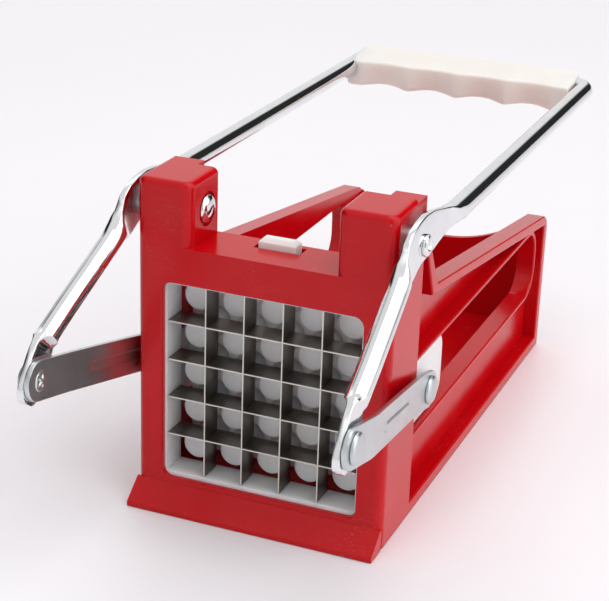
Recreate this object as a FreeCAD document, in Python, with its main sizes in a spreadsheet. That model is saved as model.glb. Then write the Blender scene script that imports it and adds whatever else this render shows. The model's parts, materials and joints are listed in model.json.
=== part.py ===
import FreeCAD, Part

import math
import os

import Sketcher

# French fry cutter: a moulded body with a cutting window, a pusher that slides in it,
# and a U-shaped lever that drives the pusher through a link on each side.
# Frame: X to the right, Y to the rear, Z up. The origin is on the table, in the plane of the
# front face, midway between the sides. Millimetres.

doc = FreeCAD.newDocument("fry_cutter")
sheet = doc.addObject("Spreadsheet::Sheet", "sizes")

DRIVING_SIZES = [
    # moulded body
    ("body_width", 105.0), ("body_length", 228.5), ("chamber_trim", 1.4),
    ("tower_rise", 26.0), ("tower_gap", 59.0), ("block_depth", 24.0),
    ("step_reach", 9.5), ("step_width", 12.5), ("step_lap", 0.1),
    ("trough_width", 88.0), ("web_thickness", 2.2), ("floor_top", 10.6),
    ("floor_thickness", 2.6), ("front_lip", 2.6), ("rear_wall", 2.6),
    ("bridge_depth", 13.3), ("window_side", 2.5), ("window_step", 0.9),
    ("window_drop", 1.7), ("window_corner", 4.0),
    ("foot_reach", 9.3), ("foot_fold", 9.2), ("foot_toe", 2.0),
    ("post_drop", 8.0), ("rim_front_reach", 54.1), ("rim_front_height", 92.9),
    ("rim_over_slot", 1.2), ("rim_edge", 4.2), ("post_edge", 5.5), ("rear_edge", 5.5),
    ("base_edge", 5.0), ("rear_corner", 8.0), ("scoop_depth", 17.0),
    ("outer_corner", 4.0), ("top_corner", 2.5), ("soft_edge", 0.8),
    # guide slot in each side
    ("slot_bottom", 36.0), ("slot_height", 30.8), ("slot_end", 208.0), ("slot_corner", 12.0),
    ("slot_ring", 2.0), ("pocket_skin", 1.9), ("pocket_front", 4.6), ("notch_depth", 4.3),
    # cassette and blades
    ("cassette_depth", 12.6), ("cassette_wall", 3.2), ("cassette_clearance", 0.3),
    ("cell_count", 5.0), ("blade_thickness", 0.5), ("blade_setback", 0.6),
    ("blade_seat", 1.6), ("blade_slit", 0.7), ("tongue_width", 15.5), ("tongue_depth", 6.0),
    ("tongue_rise", 4.0), ("tongue_clearance", 1.2), ("tongue_chamfer", 1.6),
    # pusher
    ("peg_diameter", 12.1), ("peg_length", 17.0), ("peg_entry", 1.6), ("peg_edge", 0.5),
    ("plate_thickness", 4.0), ("plate_gap", 0.8), ("plate_top", 92.5),
    ("ear_thickness", 5.6), ("ear_gap", 0.6), ("ear_front", 28.5), ("ear_rear", 29.4),
    ("ear_corner", 8.0), ("ear_neck", 9.0), ("boss_diameter", 9.0), ("boss_gap", 0.2),
    # lever and its pivot
    ("pivot_reach", 14.9), ("pivot_drop", 14.0), ("pivot_diameter", 6.0),
    ("pivot_clearance", 0.05), ("flat_gap", 3.1), ("flat_thickness", 3.2),
    ("tube_diameter", 8.6), ("tube_wall", 1.2), ("tube_lift", 2.5),
    ("tube_start", 28.1), ("tube_overhang", 32.5), ("tube_bend", 9.5), ("tube_offset", 3.0),
    ("arm_top_run", 18.9), ("arm_top_drop", 5.5), ("arm_end_run", 10.2),
    ("arm_end_rise", 13.6), ("arm_overlap", 5.0), ("arm_top_offset", 1.8),
    ("arm_end_offset", 1.1),
    ("tail_gap", 6.4), ("tail_thickness", 3.0), ("tail_width", 15.0), ("tail_tip", 9.5),
    ("grip_before", 21.0), ("grip_behind", 8.5), ("grip_below", 9.5), ("grip_above", 3.9),
    ("grip_tilt", 2.3), ("grip_play", 3.7), ("grip_shift", 3.0), ("grip_scallop", 3.2),
    ("finger_pitch", 25.0), ("grip_edge", 3.0),
    # links and rivets
    ("crank_run", 80.0), ("crank_drop", 45.3), ("slide_reach", 44.1),
    ("link_width", 15.6), ("link_thickness", 2.0), ("link_end", 8.6), ("link_chamfer", 3.4),
    ("link_clearance", 0.5), ("link_front_flat", 20.0),
    ("link_rear_flat", 10.0), ("link_gap", 0.2),
    ("rib_length", 40.0), ("rib_width", 4.6), ("rib_height", 0.8),
    ("rivet_diameter", 5.0), ("rivet_clearance", 0.05), ("rivet_head", 11.8),
    ("rivet_rise", 2.0), ("screw_head", 11.5), ("screw_rise", 3.2), ("screw_recess", 1.2),
    ("washer_diameter", 13.0), ("washer_gap", 0.1), ("stub_rise", 1.8), ("stub_diameter", 8.6),
]
for number, (alias, amount) in enumerate(DRIVING_SIZES, start=1):
    sheet.set(f"A{number}", alias)
    sheet.set(f"B{number}", str(amount))
    sheet.setAlias(f"B{number}", alias)
doc.recompute()


class Size:
    """A length that carries its number and the spreadsheet expression that gives it."""

    def __init__(self, number, text):
        self.number = number
        self.text = text

    def joined(self, other, sign, number):
        return Size(number, f"({self.text} {sign} {as_size(other).text})")

    def __add__(self, other):
        return self.joined(other, "+", self.number + as_size(other).number)

    def __sub__(self, other):
        return self.joined(other, "-", self.number - as_size(other).number)

    def __mul__(self, other):
        return self.joined(other, "*", self.number * as_size(other).number)

    def __truediv__(self, other):
        return self.joined(other, "/", self.number / as_size(other).number)

    def __neg__(self):
        return Size(-self.number, f"(0 - {self.text})")

    def root(self):
        return Size(math.sqrt(self.number), f"sqrt({self.text})")


def as_size(value):
    if isinstance(value, Size):
        return value
    text = repr(float(value))
    return Size(float(value), text if value >= 0 else f"(0 - {text[1:]})")


def size(alias):
    return Size(float(sheet.get(alias)), f"sizes.{alias}")


def bind(item, name, value):
    value = as_size(value)
    item.setExpression(name, value.text)


# Part primitives, extrusions and booleans whose sizes are bound to the sheet

SIDE_VIEW = FreeCAD.Rotation(FreeCAD.Vector(0, 1, 0), FreeCAD.Vector(0, 0, 1), FreeCAD.Vector(1, 0, 0))
FRONT_VIEW = FreeCAD.Rotation(FreeCAD.Vector(1, 0, 0), FreeCAD.Vector(0, 0, 1), FreeCAD.Vector(0, -1, 0))
ROD_TURNS = {
    "x": FreeCAD.Rotation(FreeCAD.Vector(0, 0, 1), FreeCAD.Vector(1, 0, 0)),
    "y": FreeCAD.Rotation(FreeCAD.Vector(0, 0, 1), FreeCAD.Vector(0, 1, 0)),
    "z": FreeCAD.Rotation(),
}


def block(name, low, high):
    """A box between two corners."""
    item = doc.addObject("Part::Box", name)
    for side, start, end in zip(("Length", "Width", "Height"), low, high):
        bind(item, side, as_size(end) - start)
    for axis, start in zip("xyz", low):
        bind(item, f"Placement.Base.{axis}", start)
    return item


def rod(name, direction, base, length, radius):
    """A cylinder that starts at base and runs along X, Y or Z."""
    item = doc.addObject("Part::Cylinder", name)
    item.Placement = FreeCAD.Placement(FreeCAD.Vector(), ROD_TURNS[direction])
    bind(item, "Radius", radius)
    bind(item, "Height", length)
    for axis, start in zip("xyz", base):
        bind(item, f"Placement.Base.{axis}", start)
    return item


def draw(sketch, corners):
    """Closed polygon in a sketch, each corner tied to the sketch origin by its sizes."""
    spots = [(as_size(across), as_size(up)) for across, up in corners]
    count = len(spots)
    for index in range(count):
        here = spots[index]
        after = spots[(index + 1) % count]
        start = FreeCAD.Vector(here[0].number, here[1].number, 0)
        end = FreeCAD.Vector(after[0].number, after[1].number, 0)
        sketch.addGeometry(Part.LineSegment(start, end))
    for index in range(count):
        sketch.addConstraint(Sketcher.Constraint("Coincident", index, 2, (index + 1) % count, 1))
    for index, spot in enumerate(spots):
        for kind, value in zip(("DistanceX", "DistanceY"), spot):
            tie = sketch.addConstraint(Sketcher.Constraint(kind, -1, 1, index, 1, value.number))
            bind(sketch, f"Constraints[{tie}]", value)


def draw_circle(sketch, across, up, radius):
    """A circle in a sketch, with its centre and radius tied to the sizes."""
    centre = FreeCAD.Vector(across.number, up.number, 0)
    sketch.addGeometry(Part.Circle(centre, FreeCAD.Vector(0, 0, 1), radius.number))
    for kind, value in (("DistanceX", across), ("DistanceY", up)):
        tie = sketch.addConstraint(Sketcher.Constraint(kind, -1, 1, 0, 3, value.number))
        bind(sketch, f"Constraints[{tie}]", value)
    tie = sketch.addConstraint(Sketcher.Constraint("Radius", 0, radius.number))
    bind(sketch, f"Constraints[{tie}]", radius)


def slab(name, corners, start, end, pin=(0, 0), slope=0.0):
    """A side-view outline (Y, Z) extruded along X, turned by a slope in degrees about its pin."""
    sketch = doc.addObject("Sketcher::SketchObject", name + "_outline")
    turn = FreeCAD.Rotation(FreeCAD.Vector(1, 0, 0), slope)
    sketch.Placement = FreeCAD.Placement(FreeCAD.Vector(), turn * SIDE_VIEW)
    for axis, place in zip("xyz", (start, pin[0], pin[1])):
        bind(sketch, f"Placement.Base.{axis}", place)
    draw(sketch, corners)
    item = doc.addObject("Part::Extrusion", name)
    item.Base = sketch
    item.DirMode = "Normal"
    item.Solid = True
    bind(item, "LengthFwd", as_size(end) - start)
    return item


def fuse(name, items):
    item = doc.addObject("Part::MultiFuse", name)
    item.Shapes = items
    item.Refine = True
    return item


def cut(name, base, tool):
    item = doc.addObject("Part::Cut", name)
    item.Base = base
    item.Tool = tool
    item.Refine = True
    return item


def mirrored(name, item):
    """The same shape on the left-hand side."""
    copy = doc.addObject("Part::Mirroring", name)
    copy.Source = item
    copy.Normal = FreeCAD.Vector(1, 0, 0)
    return copy


def both(name, item):
    return [item, mirrored(name + "_left", item)]


def straight_edges(item, direction, wanted):
    """Numbers of the straight edges along a direction whose middle point is wanted."""
    doc.recompute()
    found = []
    for number, edge in enumerate(item.Shape.Edges, start=1):
        if edge.Curve.TypeId != "Part::GeomLine":
            continue
        if abs(edge.tangentAt(edge.FirstParameter).dot(direction)) < 0.999:
            continue
        if wanted(edge.CenterOfMass):
            found.append(number)
    if not found:
        raise RuntimeError(f"no edges found on {item.Name}")
    return found


def flat_edges(item, axis, place, wanted):
    """Numbers of the edges that lie wholly in a plane across X, Y or Z and are wanted."""
    doc.recompute()
    found = []
    for number, edge in enumerate(item.Shape.Edges, start=1):
        spots = [getattr(spot, axis) for spot in edge.discretize(5)]
        if all(near(spot, place) for spot in spots) and wanted(edge.CenterOfMass):
            found.append(number)
    if not found:
        raise RuntimeError(f"no edges found on {item.Name}")
    return found


def rounded(name, item, numbers, radius):
    """Part fillet of numbered edges; its radius comes from the sheet."""
    result = doc.addObject("Part::Fillet", name)
    result.Base = item
    result.Edges = [(number, radius.number, radius.number) for number in numbers]
    return result


def near(first, second, slack=0.01):
    return abs(first - as_size(second).number) < slack


ALONG_X = FreeCAD.Vector(1, 0, 0)
ALONG_Y = FreeCAD.Vector(0, 1, 0)
ALONG_Z = FreeCAD.Vector(0, 0, 1)

half_width = size("body_width") / 2
half_trough = size("trough_width") / 2
half_gap = size("tower_gap") / 2
half_window = half_trough - size("window_side")
step_depth = size("block_depth") + size("step_reach")
step_bottom = size("rim_front_height") + size("step_lap")
# The cassette is nearly square, so its chamber is a little lower than the trough is wide
bridge_underside = size("floor_top") + size("trough_width") - size("chamber_trim")
bridge_height = bridge_underside + size("bridge_depth")
tower_height = bridge_height + size("tower_rise")
post_top = tower_height - size("post_drop")
slot_top = size("slot_bottom") + size("slot_height")
slot_middle = size("slot_bottom") + size("slot_height") / 2
rim_rear_height = slot_top + size("rim_over_slot")
window_bottom = size("floor_top") + size("window_step")
window_top = bridge_underside - size("window_drop")
pivot_height = tower_height - size("pivot_drop")
crank_reach = size("pivot_reach") - size("crank_run")
crank_height = pivot_height - size("crank_drop")
arm_top_reach = size("pivot_reach") - size("arm_top_run")
arm_top_height = pivot_height - size("arm_top_drop")
arm_end_reach = crank_reach + size("arm_end_run")
arm_end_height = crank_height + size("arm_end_rise")
flat_face = half_width + size("flat_gap")
tail_face = half_width + size("tail_gap")
tube_spread = flat_face + size("tube_offset")
arm_top_spread = flat_face + size("arm_top_offset")
arm_end_spread = tail_face + size("arm_end_offset")
tube_height = pivot_height + size("tube_lift")
tube_front = size("pivot_reach") + size("tube_start")
tube_rear = size("body_length") + size("tube_overhang")
grip_front = tube_rear - size("grip_before")
grip_rear = tube_rear + size("grip_behind")
grip_bottom = tube_height - size("grip_below")
grip_top = tube_height + size("grip_above")
grip_length = tube_spread * 2 - size("grip_play")
link_rear_face = half_width + size("link_clearance")
web_face = half_trough + size("web_thickness")
inner_rear = size("body_length") - size("rear_wall")
over = as_size(1.0)


# Body shell: one moulding

def make_block():
    """The front block with its two towers and the low bridge between them."""
    whole = block("block_whole", (-half_width, 0, 0), (half_width, size("block_depth"), tower_height))
    gap = block("block_gap", (-half_gap, -over, bridge_height),
                (half_gap, size("block_depth") + over, tower_height + over))
    towers = cut("block_towers", whole, gap)
    upright = straight_edges(towers, ALONG_Z, lambda spot: near(spot.y, 0))
    front = rounded("block_front_rounded", towers, upright, size("outer_corner"))
    tops = flat_edges(front, "z", tower_height, lambda spot: spot.y < size("block_depth").number - 0.5)
    return rounded("block_rounded", front, tops, size("top_corner"))


def rim_height(reach):
    """Height of the sloping rim's top at a distance back from the front face."""
    fall = size("rim_front_height") - rim_rear_height
    run = size("body_length") - size("rim_front_reach")
    return size("rim_front_height") - fall * (reach - size("rim_front_reach")) / run


def make_side():
    """Right-hand side: a channel open outwards, with a rim all round it."""
    front = size("block_depth") - over
    outline = [
        (front, 0), (size("body_length"), 0), (size("body_length"), rim_rear_height),
        (size("rim_front_reach"), size("rim_front_height")), (step_depth, post_top),
        (front, post_top),
    ]
    side = slab("side_whole", outline, half_trough, half_width)
    corner = straight_edges(side, ALONG_X, lambda spot: near(spot.y, size("body_length"))
                            and near(spot.z, rim_rear_height))
    side = rounded("side_rounded", side, corner, size("rear_corner"))

    step = block("step", (half_width - size("step_width"), front, step_bottom),
                 (half_width, step_depth, tower_height - size("top_corner") / 2))

    post_foot = size("rim_front_reach") - size("post_edge")
    recess_outline = [
        (step_depth, size("base_edge")),
        (size("body_length") - size("rear_edge"), size("base_edge")),
        (size("body_length") - size("rear_edge"), rim_rear_height - size("rim_edge")),
        (post_foot, rim_height(post_foot) - size("rim_edge")),
        (step_depth, post_top - size("post_edge")),
    ]
    recess = slab("recess_whole", recess_outline, web_face, half_width + over)
    ring = slot_bar("ring", size("slot_ring"), web_face - over, half_width + over * 2)
    recess = cut("recess", recess, ring)
    return cut("side_channel", fuse("side_with_step", [side, step]), recess)


def slot_bar(name, margin, start, end):
    """The guide slot's outline grown by a margin, with rounded rear corners."""
    front = size("block_depth") - over
    rear = size("slot_end") + margin
    low = size("slot_bottom") - margin
    high = slot_top + margin
    bar = block(name + "_bar", (start, front, low), (end, rear, high))
    corners = straight_edges(bar, ALONG_X, lambda spot: near(spot.y, rear))
    return rounded(name, bar, corners, size("slot_corner") + margin)


def make_foot():
    """The flared foot along the front of the block."""
    outline = [
        (over, size("foot_fold")), (0, size("foot_fold")), (-size("foot_reach"), size("foot_toe")),
        (-size("foot_reach"), 0), (over, 0),
    ]
    foot = slab("foot_whole", outline, -half_width, half_width)
    toe = straight_edges(foot, ALONG_X, lambda spot: near(spot.y, -size("foot_reach")) and spot.z > 0.1)
    return rounded("foot", foot, toe, size("foot_toe") / 2)


def make_rear_wall():
    """The end wall, with a round scoop in its top edge."""
    wall = block("rear_wall_whole", (-half_trough - over, inner_rear, 0),
                 (half_trough + over, size("body_length"), rim_rear_height - size("rim_edge") / 2))
    # A chord as wide as the trough and as deep as the scoop gives the radius
    radius = (half_trough * half_trough + size("scoop_depth") * size("scoop_depth")) / (size("scoop_depth") * 2)
    top = rim_rear_height - size("rim_edge") / 2
    scoop = rod("scoop", "y", (0, inner_rear - over, top - size("scoop_depth") + radius),
                size("rear_wall") + over * 2, radius)
    return cut("rear_wall_cut", wall, scoop)


def make_body_shell():
    parts = [make_block(), make_foot(), make_rear_wall()] + both("side_channel", make_side())
    parts.append(block("floor", (-half_trough - over, over, size("floor_top") - size("floor_thickness")),
                       (half_trough + over, size("body_length") - over, size("floor_top"))))
    solid = fuse("body_solid", parts)

    window = block("window_whole", (-half_window, -over, window_bottom),
                   (half_window, size("front_lip") + over, window_top))
    corners = straight_edges(window, ALONG_Y, lambda spot: True)
    window = rounded("window", window, corners, size("window_corner"))
    chamber = block("chamber", (-half_trough, size("front_lip"), size("floor_top")),
                    (half_trough, size("block_depth") + over, bridge_underside))
    under = block("underside", (-half_trough, size("front_lip"), -over),
                  (half_trough, inner_rear, size("floor_top") - size("floor_thickness")))
    tongue_side = size("tongue_width") / 2 + size("tongue_clearance") + size("blade_slit")
    tongue_front = tongue_rear() - size("tongue_depth") - size("cassette_clearance") * 2
    tongue_slot = block("tongue_slot", (-tongue_side, tongue_front, bridge_underside - over),
                        (tongue_side, tongue_rear() + size("cassette_clearance") * 2,
                         bridge_height + over))
    pocket = block("pocket", (half_trough - over, size("pocket_front"), size("slot_bottom")),
                   (half_width - size("pocket_skin"), step_depth + over, slot_top))
    tunnel = slot_bar("tunnel", as_size(0), half_trough - over, half_width + over)
    # The tunnel opens behind the block; in the block only the pocket guides the ear
    keep = block("tunnel_keep", (half_trough - over * 2, 0, 0),
                 (half_width + over * 2, step_depth, tower_height))
    tunnel = cut("tunnel_open", tunnel, keep)
    notch_half = size("boss_diameter") / 2 + size("ear_gap")
    notch = block("notch", (half_trough, step_depth - size("notch_depth"), slot_middle - notch_half),
                  (half_width + over, step_depth + over, slot_middle + notch_half))
    hole = rod("pivot_hole", "x", (half_gap - over, size("pivot_reach"), pivot_height),
               half_width - half_gap + over * 2, size("pivot_diameter") / 2 + size("pivot_clearance"))
    seat = rod("screw_seat", "x", (half_gap - over, size("pivot_reach"), pivot_height),
               size("screw_recess") + over, size("screw_head") / 2 + size("screw_recess"))
    tools = [window, chamber, under, tongue_slot]
    for item in (pocket, tunnel, notch, hole, seat):
        tools += both(item.Name, item)
    shell = cut("body_cut", solid, fuse("body_openings", tools))
    return round_body(shell)


def round_body(shell):
    """Soft moulded edges: the window's lip, the side rims and the slots' rings."""
    edges = flat_edges(shell, "y", 0, lambda spot: abs(spot.x) < half_window.number + 0.5
                       and size("foot_fold").number + 0.5 < spot.z < window_top.number + 0.5)
    ring_low = size("slot_bottom") - size("slot_ring")
    for sign in (1, -1):
        edges += flat_edges(shell, "x", half_width * sign, lambda spot: spot.z > 0.5
                            and spot.y > step_depth.number + 0.5 and not near(spot.z, ring_low))
    return rounded("body_shell", shell, edges, size("soft_edge"))


def cassette_rear():
    return size("front_lip") + size("cassette_depth")


def tongue_rear():
    return cassette_rear() + size("tongue_depth") - size("blade_setback")


# PartDesign helpers: each makes a feature in a body of its own

def new_body(name):
    return doc.addObject("PartDesign::Body", name)


def plane(body, role):
    return [item for item in body.Origin.OriginFeatures if item.Role == role][0]


def sketch_on(body, role, offset):
    sketch = body.newObject("Sketcher::SketchObject", body.Name + "_sketch")
    sketch.AttachmentSupport = [(plane(body, role), "")]
    sketch.MapMode = "FlatFace"
    bind(sketch, "AttachmentOffset.Base.z", offset)
    return sketch


def extrude(body, kind, sketch, length, reverse=False):
    """A Pad or Pocket of a sketch; it checks that the volume really changed."""
    before = body.Shape.Volume if body.Tip else 0.0
    feature = body.newObject("PartDesign::" + kind, body.Name + "_" + kind.lower())
    feature.Profile = sketch
    feature.Reversed = reverse
    bind(feature, "Length", length)
    doc.recompute()
    grew = feature.Shape.Volume - before
    if (grew <= 0) == (kind == "Pad"):
        raise RuntimeError(f"{feature.Name} changed nothing")
    return feature


def pad_side(body, corners, start, length):
    """Pad a side-view outline (Y, Z) from X = start towards +X."""
    sketch = sketch_on(body, "YZ_Plane", start)
    draw(sketch, corners)
    return extrude(body, "Pad", sketch, length)


def pocket_side(body, corners, start, length):
    sketch = sketch_on(body, "YZ_Plane", start)
    draw(sketch, corners)
    return extrude(body, "Pocket", sketch, length, reverse=True)


def pad_front(body, corners, start, length):
    """Pad a front-view outline (X, Z) from Y = start towards +Y."""
    sketch = sketch_on(body, "XZ_Plane", -as_size(start))
    draw(sketch, corners)
    return extrude(body, "Pad", sketch, length, reverse=True)


def pocket_front(body, corners, start, length):
    sketch = sketch_on(body, "XZ_Plane", -as_size(start))
    draw(sketch, corners)
    return extrude(body, "Pocket", sketch, length)


def pad_plan(body, corners, start, length):
    """Pad a plan-view outline (X, Y) from Z = start upwards."""
    sketch = sketch_on(body, "XY_Plane", start)
    draw(sketch, corners)
    return extrude(body, "Pad", sketch, length)


def rectangle(left, low, right, high):
    return [(left, low), (right, low), (right, high), (left, high)]


def finish_edges(body, kind, numbers, value, amount):
    base = body.Tip
    feature = body.newObject("PartDesign::" + kind, body.Name + "_" + kind.lower())
    feature.Base = (base, [f"Edge{number}" for number in numbers])
    bind(feature, amount, value)
    doc.recompute()
    return feature


def fillet(body, numbers, radius):
    return finish_edges(body, "Fillet", numbers, radius, "Radius")


def chamfer(body, numbers, cut_size):
    return finish_edges(body, "Chamfer", numbers, cut_size, "Size")


def turned(name, outline, reach, height):
    """A turned piece: outline of (X, radius) corners spun about an axis along X."""
    body = new_body(name)
    sketch = body.newObject("Sketcher::SketchObject", name + "_sketch")
    sketch.AttachmentSupport = [(plane(body, "XY_Plane"), "")]
    sketch.MapMode = "FlatFace"
    bind(sketch, "AttachmentOffset.Base.y", reach)
    bind(sketch, "AttachmentOffset.Base.z", height)
    draw(sketch, outline)
    feature = body.newObject("PartDesign::Revolution", name + "_turned")
    feature.Profile = sketch
    feature.ReferenceAxis = (sketch, ["H_Axis"])
    feature.Angle = 360.0
    doc.recompute()
    return body


# Cassette: frame with a tongue, and a grid of half-lapped blades

cell_pitch = (size("trough_width") - (size("cassette_wall") + size("cassette_clearance")) * 2) / size("cell_count")
frame_half = half_trough - size("cassette_clearance")
frame_inner = frame_half - size("cassette_wall")
frame_bottom = size("floor_top") + size("cassette_clearance")
frame_top = bridge_underside - size("cassette_clearance")
grid_middle = (frame_bottom + frame_top) / 2
blade_depth = size("cassette_depth") - size("blade_setback") * 2
blade_front = size("front_lip") + size("blade_setback")


def make_cassette_frame():
    body = new_body("cassette_frame")
    front = size("front_lip")
    pad_front(body, rectangle(-frame_half, frame_bottom, frame_half, frame_top), front, size("cassette_depth"))
    corners = straight_edges(body, ALONG_Y, lambda spot: True)
    fillet(body, corners, size("cassette_wall"))
    pocket_front(body, rectangle(-frame_inner, grid_middle - frame_inner, frame_inner, grid_middle + frame_inner),
                 front, size("cassette_depth"))
    # The tongue stands on the frame's rear edge and shows above the bridge
    half_tongue = size("tongue_width") / 2
    tongue_front = tongue_rear() - size("tongue_depth")
    pad_front(body, rectangle(-half_tongue, frame_top - size("cassette_wall"), half_tongue,
                              bridge_height + size("tongue_rise")), tongue_front, size("tongue_depth"))
    top = bridge_height + size("tongue_rise")
    edges = straight_edges(body, ALONG_X, lambda spot: near(spot.z, top))
    edges += straight_edges(body, ALONG_Y, lambda spot: near(spot.z, top))
    chamfer(body, edges, size("tongue_chamfer"))
    # Seats that hold the blade ends
    half_seat = size("blade_thickness") / 2
    outer = frame_inner + size("blade_seat")
    for place in blade_places():
        pocket_front(body, rectangle(place - half_seat, grid_middle - outer, place + half_seat,
                                     grid_middle + outer), blade_front, blade_depth)
        pocket_front(body, rectangle(-outer, grid_middle + place - half_seat, outer,
                                     grid_middle + place + half_seat), blade_front, blade_depth)
    return body


def blade_places():
    """Offsets of the blades from the middle of the grid."""
    count = int(size("cell_count").number)
    return [cell_pitch * (index + 1) - cell_pitch * size("cell_count") / 2 for index in range(count - 1)]


def make_blade(name, place, upright):
    """One strip with half-depth slits where the crossing strips pass."""
    body = new_body(name)
    half_length = frame_inner + size("blade_seat")
    half_thick = size("blade_thickness") / 2
    half_slit = size("blade_slit") / 2
    if upright:
        outline = rectangle(place - half_thick, grid_middle - half_length, place + half_thick,
                            grid_middle + half_length)
        slit_start = blade_front + blade_depth / 2
    else:
        outline = rectangle(-half_length, grid_middle + place - half_thick, half_length,
                            grid_middle + place + half_thick)
        slit_start = blade_front
    pad_front(body, outline, blade_front, blade_depth)
    for other in blade_places():
        if upright:
            slit = rectangle(place - over, grid_middle + other - half_slit, place + over,
                             grid_middle + other + half_slit)
        else:
            slit = rectangle(other - half_slit, grid_middle + place - over, other + half_slit,
                             grid_middle + place + over)
        pocket_front(body, slit, slit_start, blade_depth / 2)
    return body


# Pusher: plate, pegs, and an ear on each side that rides in the guide slot

peg_face = cassette_rear() - size("peg_entry")
plate_front = peg_face + size("peg_length")
plate_rear = plate_front + size("plate_thickness")
ear_inner = half_width - size("pocket_skin") - size("ear_gap") - size("ear_thickness") + size("boss_gap")
ear_outer = ear_inner + size("ear_thickness")
ear_low = size("slot_bottom") + size("ear_gap")
ear_high = slot_top - size("ear_gap")


def make_pusher():
    body = new_body("pusher")
    half_plate = half_trough - size("plate_gap")
    pad_front(body, rectangle(-half_plate, size("floor_top") + size("plate_gap"), half_plate, size("plate_top")),
              plate_front, size("plate_thickness"))
    for sign in (1, -1):
        make_ear(body, sign)
    sketch = sketch_on(body, "XZ_Plane", -plate_front - over / 2)
    start = cell_pitch / 2 - cell_pitch * size("cell_count") / 2
    draw_circle(sketch, start, grid_middle + start, size("peg_diameter") / 2)
    peg = extrude(body, "Pad", sketch, size("peg_length") + over / 2)
    pattern = body.newObject("PartDesign::MultiTransform", "peg_grid")
    row = body.newObject("PartDesign::LinearPattern", "peg_row")
    column = body.newObject("PartDesign::LinearPattern", "peg_column")
    pattern.Originals = [peg]
    count = int(size("cell_count").number)
    for step, axis in ((row, "X_Axis"), (column, "Z_Axis")):
        step.Direction = (plane(body, axis), [""])
        bind(step, "Length", cell_pitch * (count - 1))
        step.Occurrences = count
    pattern.Transformations = [row, column]
    body.Tip = pattern
    doc.recompute()
    if abs(pattern.Shape.BoundBox.YMin - peg_face.number) > 0.01:
        raise RuntimeError("the pegs miss their place")
    return body


def make_ear(body, sign):
    """One ear: a neck from the plate, the guided plate and the boss for its rivet."""
    rear = size("slide_reach") + size("ear_rear")
    front = size("slide_reach") - size("ear_front")
    outline = rectangle(front, ear_low, rear, ear_high)
    start = ear_inner if sign > 0 else -ear_outer
    pad_side(body, outline, start, size("ear_thickness"))
    corners = straight_edges(body, ALONG_X, lambda spot: spot.x * sign > ear_inner.number
                             and (near(spot.y, rear) or near(spot.y, front)))
    fillet(body, corners, size("ear_corner"))
    neck = rectangle(plate_front, ear_low + size("ear_neck"), plate_rear + size("ear_neck"),
                     ear_high - size("ear_neck"))
    neck_start = half_trough - size("plate_gap") - over * 2
    length = ear_inner - neck_start + over
    pad_side(body, neck, neck_start if sign > 0 else -(ear_inner + over), length)
    half_boss = size("boss_diameter") / 2
    face = half_width + size("boss_gap")
    length = face - ear_outer + over
    sketch = sketch_on(body, "YZ_Plane", ear_outer - over if sign > 0 else -face)
    draw_circle(sketch, size("slide_reach"), slot_middle, half_boss)
    extrude(body, "Pad", sketch, length)


# Lever: one bent tube, flattened at each pivot and at each front end, with a grip

def make_lever_tube():
    radius = size("tube_diameter") / 2
    bore = radius - size("tube_wall")
    pieces = lever_run("tube", radius)
    hollow = lever_run("bore", bore)
    outside = fuse("lever_outside", pieces)
    inside = fuse("lever_inside", hollow)
    tube = cut("lever_hollow", outside, inside)
    arms = both("arm", make_arm(radius))
    holes = []
    for name, reach, height, start in (
            ("pivot_bore", size("pivot_reach"), pivot_height, flat_face),
            ("crank_bore", crank_reach, crank_height, tail_face)):
        hole_radius = size("pivot_diameter") / 2 if name == "pivot_bore" else size("rivet_diameter") / 2
        clearance = size("pivot_clearance") if name == "pivot_bore" else size("rivet_clearance") * 0
        hole = rod(name, "x", (start - over, reach, height), size("flat_thickness") + over * 3,
                   hole_radius + clearance)
        holes += both(name, hole)
    whole = fuse("lever_whole", [tube] + arms)
    return cut("lever_tube", whole, fuse("lever_holes", holes))


def lever_run(name, radius):
    """Two arms, two quarter bends and the cross bar behind them, at one radius."""
    bend = size("tube_bend")
    arm_length = tube_rear - bend - tube_front
    arm = rod(name + "_arm", "y", (tube_spread, tube_front, tube_height),
              arm_length, radius)
    corner = doc.addObject("Part::Torus", name + "_bend")
    corner.Angle1 = -180
    corner.Angle2 = 180
    corner.Angle3 = 90
    bind(corner, "Radius1", bend)
    bind(corner, "Radius2", radius)
    for axis, value in zip("xyz", (tube_spread - bend, tube_rear - bend, tube_height)):
        bind(corner, f"Placement.Base.{axis}", value)
    half_bar = tube_spread - bend
    bar = rod(name + "_bar", "x", (-half_bar, tube_rear, tube_height), half_bar * 2, radius)
    return both(name + "_arm", arm) + both(name + "_bend", corner) + [bar]


def make_arm(radius):
    """Right-hand front end: pivot flat, bent lower stretch and flattened tail."""
    front = tube_front + size("arm_overlap")
    # The flat's outline round the pivot, in tube diameters behind and above it
    edge = [
        (2.49, 0.90), (0.48, 1.30), (-0.66, 1.22), (-1.75, 0.86), (-2.20, -0.03), (-2.31, -1.0),
        (-1.9, -1.25), (-1.4, -1.22), (-0.42, -0.80), (1.10, -0.67), (3.0, -0.27),
    ]
    outline = [(size("pivot_reach") + size("tube_diameter") * reach, pivot_height + size("tube_diameter") * height)
               for reach, height in edge]
    outline += [(front, tube_height - size("tube_diameter") / 2), (front, tube_height + size("tube_diameter") / 2)]
    flat = slab("pivot_flat", outline, flat_face, flat_face + size("flat_thickness"))
    lower = slanted_rod("arm_lower", radius)
    tail = make_tail()
    return fuse("arm", [flat, lower, tail])


def slope_of(reach, height):
    """Angle above the horizontal, in degrees, of a run back and a rise."""
    return math.degrees(math.atan2(height.number, reach.number))


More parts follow.
